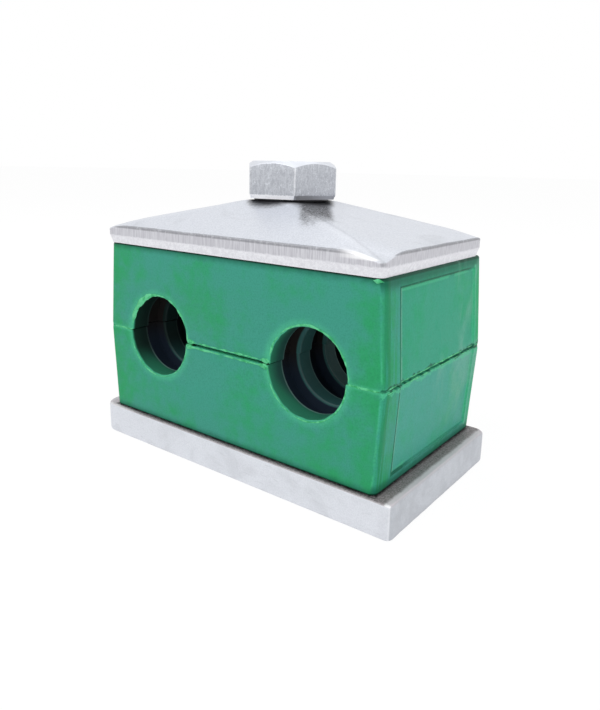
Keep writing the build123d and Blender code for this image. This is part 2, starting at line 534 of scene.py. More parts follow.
# green polypropylene: its colours, then where each mark starts and ends, in millimetres or in noise
green = {
    "teal": (0.052, 0.330, 0.245),
    "leaf": (0.026, 0.350, 0.135),
    "bright": (0.028, 0.440, 0.235),
    "cool": (0.090, 0.470, 0.390),
    "rib": (0.060, 0.400, 0.340),
    "edge": (0.018, 0.400, 0.105),
    "mint": (0.085, 0.560, 0.300),
    "shade": (0.006, 0.110, 0.062),
    "band": (0.020, 0.260, 0.110),
    # painted shade and painted highlights inside the tube seats
    "land": (0.026, 0.085, 0.078),
    "farLand": (0.060, 0.185, 0.195),
    "deep": (0.007, 0.015, 0.013),
    "bank": (0.030, 0.200, 0.115),
    "landHighlight": (0.300, 0.430, 0.440),
    "groove": (0.025, 0.022, 0.021),
    "lowerGrooveShade": (0.022, 0.036, 0.062),
    # painted shadow right under the cover
    "gap": (0.004, 0.016, 0.010),
    "pale": (0.200, 0.480, 0.380),
    "flash": (0.115, 0.600, 0.290),
    "flashDark": (0.030, 0.400, 0.140),
    "rough": 0.46,
    "shine": 0.12,
    "flashRough": 0.45,
    "flashShine": 0.3,
    "leafNoise": (0.43, 0.68),
    "leafInward": (0.3, 6.0),
    "cornerLine": (0.4, 0.05, 0.3),
    "bandFrom": (-1.7, -1.2),
    "bandTo": (-0.3, 0.1),
    "endFace": (0.5, 0.8),
    "leftEdge": (0.5, 1.3),
    "lip": (0.2, 0.75),
    "halo": (0.3, 1.8),
    "under": (0.05, 1.3),
    "underLine": (0.1, 0.42),
    "footShade": (-13.0, -11.4),
    "panelDark": (0.1, 0.08, 0.3),
    "panelLight": (-0.25, 0.08, 0.36),
    "panelInset": (0.4, 0.1, 0.45),
    "panelWall": (0.05, 0.2, 0.4),
    "haze": (0.57, 0.74),
    "tornDark": (-0.12, 0.15, 0.45),
    "tornLight": (0.55, 0.1, 0.35),
    "seatDeep": (0.2, 2.4),
    "seatBlack": (2.5, 7.0),
    "landHighlightLine": (1.25, 0.05, 0.2),
    "farFrom": (3.2, 6.5),
}


def greenPlaces(f):  # where a point is on a half, and the noises that break up the marks
    m = moulding
    at = SimpleNamespace()
    at.x, at.y, at.z = f.axes(f.place())
    at.low = partingZ - at.z
    at.fromParting = abs(at.z - partingZ)
    at.endIn = halfLength - m["endDraft"] / m["outerHalf"] * at.fromParting - abs(at.x)
    at.sideIn = halfWidth - m["sideDraft"] / m["outerHalf"] * at.fromParting - abs(at.y)
    at.outerIn = m["outerHalf"] - at.fromParting
    at.uprightIn = at.endIn.most(at.sideIn)
    at.fromAxis = ((abs(at.x) - m["borePitch"] / 2) ** 2.0 + at.fromParting ** 2.0) ** 0.5
    at.onRight = at.x > 0.0
    at.onEnd = f.fade(at.endIn, *green["endFace"])
    at.broad = f.grain(scale=0.075, detail=4, rough=0.55, twist=0.5)
    at.patch = f.grain(scale=0.4)
    at.ragged = f.grain(scale=0.9, rough=0.5)
    at.speckle = f.grain(scale=4.5, detail=2)
    return at


def greenBody(f, at):  # slow drift between the two greens, less leafy away from the edges
    g = green
    drift = at.broad * 0.6 + at.patch * 0.4 + 0.1 - f.span(at.uprightIn, *g["leafInward"]) * 0.13
    f.colour = f.tint(f.span(drift, *g["leafNoise"]), g["teal"], g["leaf"])


def greenCorners(f, at):
    g, m = green, moulding
    # the right corners carry a light line, a dark band and a ribbed margin
    edgeward = at.endIn - at.sideIn + (at.ragged - 0.5) * 0.25
    light = f.line(edgeward, *g["cornerLine"]) * f.span(at.patch, 0.4, 0.6) * (at.uprightIn < 3.5)
    f.coat(g["mint"], light * at.onRight * 0.45)
    band = f.span(edgeward, *g["bandFrom"]) * f.fade(edgeward, *g["bandTo"])
    f.coat(g["band"], band * at.onRight * 0.75)
    ribs = f.grain(scale=1.1, detail=2, rough=0.5, stretch=(0.3, 2.0, 0.12))
    ribbed = at.onEnd * (at.y < m["panelFrom"]) * f.span(ribs, 0.42, 0.62)
    f.coat(g["rib"], ribbed * 0.4)
    # the back edge of each end and the left corners are bright, and the ends are cooler low down
    backEdge = at.onEnd * f.span(at.y, m["panelTo"] + 0.2, m["panelTo"] + 0.9)
    f.coat(g["edge"], backEdge * 0.8)
    endTone = f.tint(f.span(at.low, -1.0, 1.0), g["bright"], g["cool"])
    f.coat(endTone, at.onEnd * 0.4 * (at.y > m["panelFrom"]))
    leftEdge = f.fade(at.uprightIn + at.ragged * 0.4, *g["leftEdge"])
    f.coat(g["edge"], leftEdge * (1 - at.onRight) * 0.8)


def greenEdges(f, at):
    g = green
    # paler at the parting line and round the tube mouths
    lip = f.fade(at.fromParting.most(at.uprightIn * -1.0) + at.ragged * 0.35, *g["lip"])
    f.coat(g["mint"], lip * 0.55)
    rimIn = abs(at.fromAxis - moulding["boreRadius"]).most(at.sideIn)
    f.coat(g["mint"], f.fade(rimIn + at.ragged * 0.8, *g["halo"]) * 0.6)
    # painted shade just under the cover and where the lower half stands on the plate, darkest in a painted
    # shadow line right at both
    under = f.fade(at.outerIn + (at.ragged - 0.5) * 0.6 - at.onEnd * 0.6, *g["under"])
    f.coat(g["shade"], under * 0.72)
    f.coat(g["gap"], f.fade(at.outerIn - at.onEnd * 0.12, *g["underLine"]) * 0.85)
    f.coat(g["shade"], at.onEnd * f.fade(at.low, *g["footShade"]) * 0.3)


def greenPanel(f, at):  # sunk end panel: painted shade in a dark line at the step, with a painted highlight in a light one inside it
    g, m = green, moulding
    border = (m["panelFrom"] - at.y).most(at.y - m["panelTo"]).most(at.fromParting - m["panelDeep"])
    lowBorder = f.span(at.low, 11.0, 11.5) * f.span(at.y, -8.0, -5.0)
    dark = f.line(border, *g["panelDark"]) * at.onEnd * f.fade(at.y, 10.0, 12.0) * (1 - lowBorder * 0.6)
    f.coat(g["shade"], dark * f.span(at.ragged, 0.2, 0.45) * 0.9)
    # a noise patch breaks up the painted highlights
    worn = f.span(at.patch, 0.3, 0.5) * at.onEnd
    light = f.line(border, *g["panelLight"]) * worn * (1 - lowBorder * 0.9)
    f.coat(g["mint"], light * 0.6)
    # painted highlight in a pale line inside the front border of the panel
    inset = f.line(at.y - m["panelFrom"], *g["panelInset"]) * worn * (border < 0.0)
    f.coat(g["pale"], inset * 0.6)
    # painted light on the step wall at the back of the panel, lifting its shade
    wall = f.line(at.y - m["panelTo"], *g["panelWall"]) * at.onEnd * (border < 0.5)
    f.coat(g["mint"], wall * 0.7)
    # pale rubbed haze
    rub = f.grain(scale=0.11, detail=4, rough=0.62, stretch=(1.0, 1.0, 0.7), twist=0.6)
    haze = rub + f.span(at.low, -3.0, 1.0) * 0.13 - f.span(at.low, 3.0, 9.0) * 0.12 + at.y * 0.01
    haze = f.span(haze, *g["haze"]) * at.onEnd * (at.y > m["panelFrom"])
    f.coat(g["pale"], haze * 0.45)


def greenParting(f, at):  # torn parting line across the ends
    g = green
    torn = at.low + (at.ragged - 0.5) * 2.0 + (at.speckle - 0.5) * 0.6
    f.coat(g["shade"], f.line(torn, *g["tornDark"]) * at.onEnd * 0.85)
    f.coat(g["mint"], f.line(torn, *g["tornLight"]) * at.onEnd * 0.65)


def greenSeats(f, at):  # tube seats in painted shade, darkest in their grooves, with painted highlights on the land edges
    g, m = green, moulding
    seatEdge = m["boreRadius"] + m["grooveDepth"]
    at.within = f.fade(at.fromAxis, seatEdge + 0.1, seatEdge + 0.4)
    inside = f.span(at.sideIn, 1.0, 2.0)
    deep = f.span(at.sideIn + (at.ragged - 0.5) * 0.5 - f.span(at.low, 2.0, 6.2) * 1.8, *g["seatDeep"])
    # painted shade, near black, inside the left seat
    black = (1 - at.onRight) * f.fade(at.low, *g["seatBlack"]) * f.span(at.sideIn, 0.1, 0.5)
    pitch = m["grooves"][1] - m["grooves"][0]
    # painted highlights along the land edges
    landHighlight = at.within * f.line(at.y.calc("PINGPONG", at.y, pitch / 2), *g["landHighlightLine"]) * inside
    at.dip = at.within * f.span(at.fromAxis, m["boreRadius"] + 0.15, m["boreRadius"] + 0.4) * inside
    f.coat(g["bank"], at.within * f.span(at.sideIn, 0.02, 0.3) * 0.85)
    # painted shade on the lands, lighter further in
    land = f.tint(f.span(at.sideIn, *g["farFrom"]), g["land"], g["farLand"])
    f.coat(land, at.within * deep * 0.88)
    f.coat(g["deep"], at.within * black * 0.9)
    f.coat(g["landHighlight"], landHighlight * (1 - black * 0.7) * f.span(at.low, -2.0, 4.0, 0.2, 0.45))
    # painted shade in the grooves, bluer in the lower half
    f.coat(f.tint(f.span(at.low, -1.0, 4.0), g["groove"], g["lowerGrooveShade"]), at.dip)


def greenFinish():
    g = green
    f = Finish(bpy.data.materials.new("greenMoulding"))
    at = greenPlaces(f)
    for layer in (greenBody, greenCorners, greenEdges, greenPanel, greenParting):
        layer(f, at)
    f.coat(g["shade"], f.span(at.speckle, 0.35, 0.8) * 0.22)
    greenSeats(f, at)
    scratch = f.grain(scale=0.9, detail=2, rough=0.5, stretch=(4.0, 4.0, 0.5), twist=0.6)
    rough = g["rough"] + (at.patch - 0.5) * 0.2 + f.span(scratch, 0.62, 0.7) * 0.12 + at.dip * 0.4
    height = at.broad * 0.12 + at.patch * 0.02 + at.speckle * 0.008 - f.span(scratch, 0.66, 0.72) * 0.006
    return f.close(rough, 0.0, height, {"Specular IOR Level": g["shine"]})


def flashFinish():
    g = green
    f = Finish(bpy.data.materials.new("greenFlash"))
    mottle = f.grain(scale=1.3)
    fine = f.grain(scale=7.0, detail=2, rough=0.5)
    f.colour = f.tint(f.span(mottle, 0.35, 0.6), g["flashDark"], g["flash"])
    rough, height = g["flashRough"] + fine * 0.15, mottle * 0.03 + fine * 0.01
    return f.close(rough, 0.0, height, {"Specular IOR Level": g["flashShine"]})


greenMaterial = greenFinish()
flashMaterial = flashFinish()
settle(makeMoulding("lowerHalf", False, 3.1), "base", greenMaterial, "lower_clamp_half")
settle(makeMoulding("upperHalf", True, 8.4), "top", greenMaterial, "upper_clamp_half")
settle(makeFlash("lowerFlash", False, 2.0), "base", flashMaterial)
settle(makeFlash("upperFlash", True, 5.0), "top", flashMaterial)


# zinc plated steel, with each piece's own grain and tone
zinc = {
    "bright": (0.73, 0.755, 0.81),
    "soft": (0.60, 0.625, 0.68),
    "dull": (0.47, 0.49, 0.53),
    "dim": (0.34, 0.345, 0.37),
    "dark": (0.16, 0.165, 0.18),
    "warm": (0.62, 0.56, 0.60),
    "metallic": 0.75,
    "rough": 0.42,
}


def roundedOutline(shape, perSide, perEnd, perCorner):
    corners = []
    for (sx, sy), radius in zip(((1, 1), (-1, 1), (-1, -1), (1, -1)), shape["cornerRounds"]):
        corners.append((sx * (shape["length"] / 2 - radius), sy * (shape["width"] / 2 - radius), radius))

    def onCorner(k, turn):
        x, y, radius = corners[k % 4]
        return x + radius * cos(turn), y + radius * sin(turn)

    points = []
    for k in range(4):
        for i in range(perCorner):
            points.append(onCorner(k, pi / 2 * (k + i / perCorner)))
        turn = pi / 2 * (k + 1)
        start, end = onCorner(k, turn), onCorner(k + 1, turn)
        count = perSide if k % 2 == 0 else perEnd
        for i in range(count):
            points.append(tuple(a + (b - a) * i / count for a, b in zip(start, end)))
    return points


def insetOutline(points, shape, inset):
    alongX, alongY = 1 - inset / (shape["length"] / 2), 1 - inset / (shape["width"] / 2)
    return [(x * alongX, y * alongY) for x, y in points]


def edgeIn(shape, x, y):  # how far in from the ends and from the long sides
    return shape["length"] / 2 - abs(x), shape["width"] / 2 - abs(y)


def slopes(low, high, edges, runs, blend):  # rising from the four edges, with rounded ridges
    end, side = [low + (high - low) * edge / run for edge, run in zip(edges, runs)]
    return softLow(end, side, blend)


def edgeSteps(radius, turns):  # how far a rounded edge has come in and dropped, at each turn
    return [(radius * (1 - sin(radians(turn))), radius * (1 - cos(radians(turn)))) for turn in turns]


def onCircle(points, radius):
    return [(radius * cos(atan2(y, x)), radius * sin(atan2(y, x))) for x, y in points]


def mixed(first, second, share):
    return [(a + (c - a) * share, b + (d - b) * share) for (a, b), (c, d) in zip(first, second)]


# pressed cover: a blank pushed up into a low pyramid, its four corners dragged down
cover = {
    "length": 51.6,
    "width": 30.8,
    "cornerRounds": (2.3, 0.9, 0.9, 0.9),  # back right, back left, front left, front right
    "rimRise": 2.9,
    "bevelRise": 1.3,
    "bevelInset": 0.35,
    "foot": 3.2,
    "crown": 0.5,
    "sheet": 3.0,
    "dips": (1.2, 0.75, 0.4, 0.6),  # front right, front left, back left, back right
    "dipLength": 4.8,
    "dipWidth": 4.0,
    "hole": 4.5,
    "edgeRound": 0.28,
    "ridgeBlend": 0.55,
    "unevenness": 0.05,
    "upperRuns": (18.8, 8.6),
    "lowerRuns": (15.25, 5.05),
    "upperRows": 56,
    "underRows": 14,
    "bevelWaver": 0.12,
    "sideWear": 0.0012,
    "band": ((0.53, 0.525, 0.57), (0.66, 0.66, 0.70)),
    "bevel": ((0.76, 0.755, 0.80), (0.87, 0.87, 0.91)),
    "gleamTone": (0.97, 0.97, 0.98),
    "ridgeHighlightTone": (0.86, 0.88, 0.92),
    "headShadowTone": (0.045, 0.045, 0.052),
    "headReflectionTone": (0.055, 0.055, 0.062),
    # painted shadow under the head, a ring cut off at both ends, and a painted reflection of the head, a
    # patch that runs down from it
    "ring": (6.9, 9.1),
    "ringAlong": (0.8, 0.6),
    "ringEnds": (6.3, 7.3),
    "patchAlong": (0.61, -0.79),
    "patchOff": 3.6,
    "patchHalf": (2.0, 3.2),
    "patchStart": (3.0, 6.0),
    "patchEnd": (11.5, 17.0),
    # marks on the rim: a dark line on its top edge, a painted highlight and painted shade in a dark notch
    # at the front right
    "lip": (0.1, 0.26),
    "lipRise": (2.42, 2.62),
    "gleamIn": (0.35, 0.75),
    "gleamFrom": (18.5, 22.5),
    "gleamTo": (24.4, 25.3),
    "gleamRise": (1.9, 2.2),
    "notch": (0.35, 0.9),
    "notchRise": (1.3, 1.6),
}


def coverTopAt(x, y):
    c = cover
    rim = bodyTop + c["rimRise"]
    fromEnd, fromSide = edgeIn(c, x, y)
    height = slopes(rim, seatZ, (fromEnd, fromSide), c["upperRuns"], c["ridgeBlend"])
    dip = c["dips"][(0 if y < 0 else 3) if x > 0 else (1 if y < 0 else 2)]
    corner = rim - dip + c["dips"][0] * (fromEnd / c["dipLength"] + fromSide / c["dipWidth"])
    height = softLow(height, corner, c["ridgeBlend"])
    return softLow(height, seatZ + c["crown"], 0.2)


def coverUnderAt(x, y):
    c = cover
    top = seatZ - c["sheet"]
    inside = [edge - c["bevelInset"] - c["foot"] for edge in edgeIn(c, x, y)]
    return max(bodyTop, softLow(slopes(bodyTop, top, inside, c["lowerRuns"], 0.5), top, 0.3))


def makeCover():
    c = cover
    outline = roundedOutline(c, 70, 44, 8)
    hole = onCircle(outline, c["hole"])
    rings = []
    inner = insetOutline(outline, c, c["edgeRound"])
    for i in range(c["upperRows"] + 1):
        flat = mixed(hole, inner, (i / c["upperRows"]) ** 0.9)
        ring = []
        for x, y in flat:
            uneven = c["unevenness"] * (wobble(x, y, 0, 0.22) - 0.5) * eased(i / 8)
            ring.append((x, y, coverTopAt(x, y) + uneven))
        rings.append(ring)
    edge = rings[-1]
    for inset, drop in edgeSteps(c["edgeRound"], (22, 45, 68, 90)):
        flat = insetOutline(outline, c, inset)
        rings.append([(x, y, top[2] - drop) for (x, y), top in zip(flat, edge)])
    bevelZ = bodyTop + c["bevelRise"]
    for share in (0.35, 0.7, 1.0):
        ring = []
        for (x, y), top in zip(outline, edge):
            low = bevelZ + c["bevelWaver"] * wobble(x, y, 0, 0.6, 4)
            z = (top[2] - c["edgeRound"]) * (1 - share) + low * share
            pinch = 1 - c["sideWear"] * (1 + wobble(x, y, z, 0.8, 7))
            ring.append((x * pinch, y * pinch, z))
        rings.append(ring)
    for share in (0.5, 1.0):
        flat = insetOutline(outline, c, c["bevelInset"] * share + 0.03)
        rings.append([(x, y, bevelZ + (bodyTop - bevelZ) * share) for x, y in flat])
    foot = c["bevelInset"] + c["foot"]
    inside = insetOutline(outline, c, foot)
    rings.append([(x, y, bodyTop) for x, y in inside])
    for i in range(c["underRows"]):
        flat = mixed(inside, hole, (i + 1) / c["underRows"])
        rings.append([(x, y, coverUnderAt(x, y)) for x, y in flat])
    return skinPiece("coverPlate", rings, 32, wrap=True)


def coverPlaces(f):
    at = SimpleNamespace()
    at.x, at.y, at.z = f.axes(f.place())
    at.upright = f.fade(abs(f.facing()[2]), 0.35, 0.7)
    at.endIn, at.sideIn = edgeIn(cover, at.x, at.y)
    at.fromBolt = (at.x ** 2.0 + at.y ** 2.0) ** 0.5
    at.fine = f.grain(scale=4.6, rough=0.65)
    at.cloud = f.grain(scale=0.16, detail=4, twist=0.8)
    at.pit = f.grain(scale=2.1, detail=4, rough=0.7)
    at.ragged = f.grain(scale=1.6)
    at.streak = f.grain(scale=0.9, stretch=(5.0, 5.0, 0.35))
    return at


def coverHeadShadowAndReflection(f, at):
    c = cover
    # painted shadow of the head: a ring under it, cut off at both ends
    over, along = c["ringAlong"]
    inLine = f.fade(abs(at.x * over + at.y * along) + at.ragged * 0.5, *c["ringEnds"])
    at.ring = f.fade(at.fromBolt + at.ragged * 1.4, *c["ring"]) * inLine
    f.coat(c["headShadowTone"], at.ring * 0.95)
    # painted reflection of the head: a grainy dark patch running down the right slope
    over, along = c["patchAlong"]
    run = at.x * over + at.y * along
    aside = abs(at.y * over - at.x * along - c["patchOff"])
    patch = f.fade(aside + at.ragged * 0.8, *c["patchHalf"]) * f.span(run, *c["patchStart"])
    patch = patch * f.fade(run + (at.pit - 0.5) * 7.0, *c["patchEnd"])
    at.patch = patch * f.span(at.fine + at.pit * 0.5, 0.5, 0.85, 0.4, 1.0)
    f.coat(c["headReflectionTone"], at.patch * 0.98)


def coverRim(f, at):  # pressed edge: grey band with faint upright ticks over a pale bevel
    c = cover
    band = f.tint(f.span(at.streak, 0.36, 0.64), *c["band"])
    bevelTop = bodyTop + c["bevelRise"]
    low = f.fade(at.z + (at.ragged - 0.5) * 0.5, bevelTop - 0.16, bevelTop + 0.16)
    bevel = f.tint(f.span(at.fine * 0.5 + at.ragged * 0.5, 0.42, 0.6), *c["bevel"])
    f.coat(f.tint(low, band, bevel), at.upright)


def coverRidges(f, at):  # painted shade and painted highlight in faint lines down the four ridges
    c = cover
    ridge = at.endIn / c["upperRuns"][0] - at.sideIn / c["upperRuns"][1]
    sloping = f.span(at.fromBolt, 8.0, 11.0) * (1 - at.upright)
    dim = f.line(ridge, -0.03, 0.0, 0.05) * sloping
    lit = f.line(ridge + (at.cloud - 0.5) * 0.1, 0.06, 0.0, 0.09) * sloping
    f.coat(zinc["dark"], dim * 0.12)
    f.coat(c["ridgeHighlightTone"], lit * 0.15)


def coverEdgeMarks(f, at):
    c, s = cover, zinc

    def above(rise):
        return f.span(at.z, bodyTop + rise[0], bodyTop + rise[1])

    lip = f.fade(at.endIn.least(at.sideIn) + (at.pit - 0.5) * 0.3, *c["lip"]) * above(c["lipRise"])
    f.coat(s["dark"], lip * f.span(at.ragged, 0.3, 0.5, 0.5, 1.0) * 0.6)
    # painted highlight along the front edge towards the front right corner
    corner = (at.y < 0.0) * (at.x > 0.0)
    gleam = f.fade(at.sideIn, *c["gleamIn"]) * f.span(at.x, *c["gleamFrom"]) * f.fade(at.x, *c["gleamTo"])
    f.coat(c["gleamTone"], gleam * corner * above(c["gleamRise"]) * 0.9)
    # painted shade in the fold at the front right corner
    notch = f.fade(at.endIn + at.sideIn + (at.ragged - 0.5) * 0.3, *c["notch"]) * corner
    f.coat(s["dark"], notch * above(c["notchRise"]) * 0.65)


def coverFinish():
    s = zinc
    f = Finish(bpy.data.materials.new("coverZinc"))
    at = coverPlaces(f)
    f.colour = f.tint(f.span(at.fine, 0.3, 0.7) * 0.8, s["bright"], s["soft"])
    f.coat(s["dull"], f.span(at.cloud, 0.5, 0.75) * 0.4)
    f.coat(s["dull"], f.span(at.pit, 0.6, 0.72) * 0.3)
    for layer in (coverHeadShadowAndReflection, coverRim, coverRidges, coverEdgeMarks):
        layer(f, at)
    rough = s["rough"] + (at.fine - 0.5) * 0.3 + at.patch * 0.2 + at.upright * 0.05
    height = at.fine * 0.014 + at.pit * 0.02 + at.upright * at.streak * 0.04
    return f.close(rough, s["metallic"] - at.patch.most(at.ring) * 0.5, height)


settle(makeCover(), "top", coverFinish(), "cover_plate")


# weld plate, cut from flat bar
plate = {
    "length": 57.0,
    "width": 31.0,
    "cornerRounds": (1.6, 0.8, 2.4, 0.8),  # back right, back left, front left, front right
    "edgeRound": 0.4,
    "hole": 5.3,
    "wear": (0.0022, 0.001),  # of the size, in broad and in fine dents
    # the top is darker, rolled and grainy, partly painted shade near the moulding, lighter towards its
    # edges, with a painted highlight on its long edges
    "rolled": ((0.13, 0.113, 0.12), (0.34, 0.305, 0.32)),
    "rolledFrom": (0.75, 1.3),
    "rolledLeft": (-26.0, -14.0),
    "edgeHighlightTone": (0.93, 0.94, 0.96),
    "cornerHighlightTone": (0.9, 0.91, 0.94),
    "frontTone": (0.93, 0.93, 0.98),
    "dirtAndShadeTone": (0.02, 0.022, 0.022),
    "dirtAndShade": (0.0, 0.4),
    "lowEdge": (0.3, 1.1),
}


def makePlate():
    p = plate
    outline = roundedOutline(p, 76, 42, 8)
    hole = onCircle(outline, p["hole"])
    rings = []

    def worn(x, y, z):
        broad, fine = p["wear"]
        pinch = 1 - broad * (0.5 + 0.5 * wobble(x, y, z, 0.35, 2)) - fine * (1 + wobble(x, y, z, 1.3, 6))
        return x * pinch, y * pinch, z

    inner = insetOutline(outline, p, p["edgeRound"])
    for i in range(13):
        rings.append([(x, y, plateTop) for x, y in mixed(hole, inner, i / 12)])
    for inset, drop in edgeSteps(p["edgeRound"], (18, 36, 54, 72, 90)):
        rings.append([worn(x, y, plateTop - drop) for x, y in insetOutline(outline, p, inset)])
    for share in (0.25, 0.5, 0.75):
        rings.append([worn(x, y, plateTop * (1 - share)) for x, y in outline])
    for inset, rise in edgeSteps(p["edgeRound"], (90, 72, 54, 36, 18, 0)):
        rings.append([worn(x, y, rise) for x, y in insetOutline(outline, p, inset)])
    for i in range(1, 7):
        rings.append([(x, y, 0.0) for x, y in mixed(inner, hole, i / 6)])
    return skinPiece("weldPlate", rings, 32, wrap=True)


def plateFinish():
    s, p = zinc, plate
    f = Finish(bpy.data.materials.new("plateZinc"))
    x, y, z = f.axes(f.place())
    nz = f.facing()[2]
    top = f.span(nz, 0.6, 0.9)
    facingUp = f.span(nz, 0.25, 0.6)
    fine = f.grain(scale=4.6, rough=0.65)
    pit = f.grain(scale=2.0, detail=4, rough=0.7)
    cloud = f.grain(scale=0.2, detail=4, twist=0.6)
    ragged = f.grain(scale=0.7)
    patch = f.grain(scale=0.45)
    scratch = f.grain(scale=0.8, detail=2, rough=0.5, stretch=(0.5, 0.5, 3.5), twist=1.2)
    endIn, sideIn = edgeIn(p, x, y)
    f.colour = f.tint(f.span(fine, 0.3, 0.7) * 0.7, s["bright"], s["soft"])
    f.coat(s["dull"], f.span(cloud, 0.42, 0.7) * 0.45)
    f.coat(s["dull"], f.span(pit, 0.58, 0.72) * 0.3)
    f.coat(s["dull"], f.span(scratch, 0.64, 0.7) * 0.35)
    # rolled top, partly painted shade near the moulding, with a painted highlight on its long edges
    f.coat(s["warm"], facingUp * 0.8)
    f.coat(p["edgeHighlightTone"], facingUp * (sideIn < 0.45) * f.span(ragged, 0.4, 0.55, 0.2, 0.9))
    rolled = f.tint(f.span(fine * 0.6 + pit * 0.4, 0.38, 0.62), *p["rolled"])
    inside = f.span(endIn + (ragged - 0.5) * 0.5 + (fine - 0.5) * 0.6, *p["rolledFrom"])
    f.coat(rolled, facingUp * inside * f.span(x + ragged * 8.0, *p["rolledLeft"], 0.1, 1.0))
    # painted highlight on the corners, dull ends with painted shade at their foot, paler long sides
    corner = f.line(endIn - sideIn, 0.1, 0.1, 0.3) * (endIn < 0.8) * (1 - top)
    f.coat(p["cornerHighlightTone"], corner * 0.3)
    onEnd = (endIn < 0.3) * (1 - top)
    foot = f.fade(z + ragged * 0.5, *p["lowEdge"]) * onEnd
    clouded = onEnd * f.span(cloud + patch, 0.8, 1.2, 0.4, 0.75)
    f.coat(s["dark"], onEnd * 0.1)
    f.coat(s["dull"], (foot * 0.5 + clouded).least(0.9))
    f.coat(p["frontTone"], (sideIn < 0.3) * (1 - top) * 0.2)
    # dirt and painted contact shadow where the moulding stands on it
    joint = (abs(x) - halfLength + moulding["endDraft"]).most(abs(y) - halfWidth + moulding["sideDraft"])
    dirtAndShade = top * f.fade(joint + (ragged - 0.5) * 0.5, *p["dirtAndShade"])
    f.coat(p["dirtAndShadeTone"], dirtAndShade * f.span(pit + ragged * 0.5, 0.62, 0.82, 0.35, 1.0))
    rough = s["rough"] + (fine - 0.5) * 0.3 + top * 0.15
    height = fine * 0.014 + pit * 0.03 - f.span(scratch, 0.64, 0.7) * 0.01
    return f.close(rough, s["metallic"] - facingUp * 0.6, height)


settle(makePlate(), "base", plateFinish(), "weld_plate")


# bolt and nut share one thread
bolt = {
    "acrossFlats": 13.0,
    "turn": 11.6,
    "cornerCut": 0.05,
    "washerRadius": 5.75,
    "washerRise": 0.3,
    "lift": 0.5,
    "underIn": 0.2,
    "topRadius": 6.0,
    "topDrop": 0.95,
    "underBevel": 0.6,
    "major": 3.95,
    "minor": 3.3,
    "pitch": 1.25,
    "play": 0.05,
    "tipTaper": 0.9,
    "tipRadius": 1.2,
    "neckRadius": 4.4,
    "neckEnds": (0.4, 1.2, 1.4),  # below the seat: full shank, thread core, first turn
    "faces": ((0.40, 0.415, 0.455), (0.56, 0.58, 0.62)),
    "footReflectionTone": (0.95, 0.95, 0.97),
    "ridgeHighlightTone": (0.92, 0.93, 0.95),
    "shadeTone": (0.03, 0.03, 0.034),
    "ridge": (7.41, 7.45),
    "rough": 0.36,
}
nut = {"acrossFlats": 14.0, "height": 6.5, "collarRadius": 5.25, "collarHeight": 1.2, "chamferDrop": 0.6}


def hexReach(acrossFlats, turn, cut):
    off = (turn + pi / 6) % (pi / 3) - pi / 6
    corner = acrossFlats / 2 / cos(pi / 6)
    return min(acrossFlats / 2 / cos(off), corner - cut)


def threadRadius(turn, z):
    b = bolt
    place = (z / b["pitch"] - turn / (2 * pi)) % 1.0
    tooth = clamped((abs(place - 0.5) * 2 - 0.12) / 0.76)
    return b["minor"] + (b["major"] - b["minor"]) * tooth


class Spun:  # rings round the bolt's axis; a reach or a height is one number, or one for each turn
    def __init__(self, turns, lean=0.0):
        self.turns = turns
        self.lean = lean
        self.rings = []

    def ring(self, *values):
        values = [v if isinstance(v, list) else [v] * len(self.turns) for v in values]
        leaning = [turn + self.lean for turn in self.turns]
        self.rings.append([(r * cos(t), r * sin(t), z) for t, r, z in zip(leaning, *values)])


def spinCrown(spun, reach):  # flat top, turned off to a cone at its corners
    b = bolt
    slope = b["topDrop"] / (b["acrossFlats"] / 2 / cos(pi / 6) - b["topRadius"])

    def crownAt(r):
        return headTop - slope * max(0.0, r - b["topRadius"])

    for radius, dip in ((0.4, 0.06), (2.5, 0.05), (4.6, 0.03), (5.6, 0.01), (b["topRadius"], 0.0)):
        spun.ring(radius, headTop - dip)
    for share in (0.35, 0.7):
        radii = [b["topRadius"] + (r - 0.08 - b["topRadius"]) * share for r in reach]
        spun.ring(radii, [crownAt(r) - 0.02 for r in radii])
    spun.ring([r - 0.08 for r in reach], [crownAt(r - 0.08) - 0.01 for r in reach])
    spun.ring([r - 0.02 for r in reach], [crownAt(r) - 0.03 for r in reach])
    rim = [crownAt(r) - 0.1 for r in reach]
    spun.ring(reach, rim)
    return rim


def spinFoot(spun, reach, rim):  # the faces, the bevel at their foot and the washer face
    b = bolt
    washerZ = seatZ + b["lift"]
    footZ = washerZ + b["washerRise"]
    skirt = footZ + b["underBevel"]
    for share in (0.3, 0.7):
        spun.ring(reach, [h * (1 - share) + (skirt + 0.1) * share for h in rim])
    spun.ring(reach, skirt + 0.08)
    spun.ring([r - 0.03 for r in reach], skirt - 0.02)
    footReach = [hexReach(b["acrossFlats"] - 2 * b["underIn"], turn, 0.2) for turn in spun.turns]
    for share in (0.5, 1.0):
        radii = [(r - 0.05) * (1 - share) + foot * share for r, foot in zip(reach, footReach)]
        spun.ring(radii, skirt - b["underBevel"] * share)
    spun.ring(b["washerRadius"], footZ)
    spun.ring(b["washerRadius"], washerZ + 0.06)
    spun.ring(b["washerRadius"] - 0.06, washerZ)


def spinThread(spun):
    b = bolt
    threadFrom = seatZ - b["neckEnds"][2]
    count = int((threadFrom - boltTip) / (b["pitch"] / 12))
    for i in range(count + 1):
        z = threadFrom - (threadFrom - boltTip) * i / count
        taper = max(0.0, b["tipTaper"] - (z - boltTip))
        lead = eased(threadFrom - z)
        radii = []
        for turn in spun.turns:
            r = threadRadius(turn + spun.lean, z)
            radii.append(min(b["minor"] + (r - b["minor"]) * lead, b["major"] - taper))
        spun.ring(radii, z)


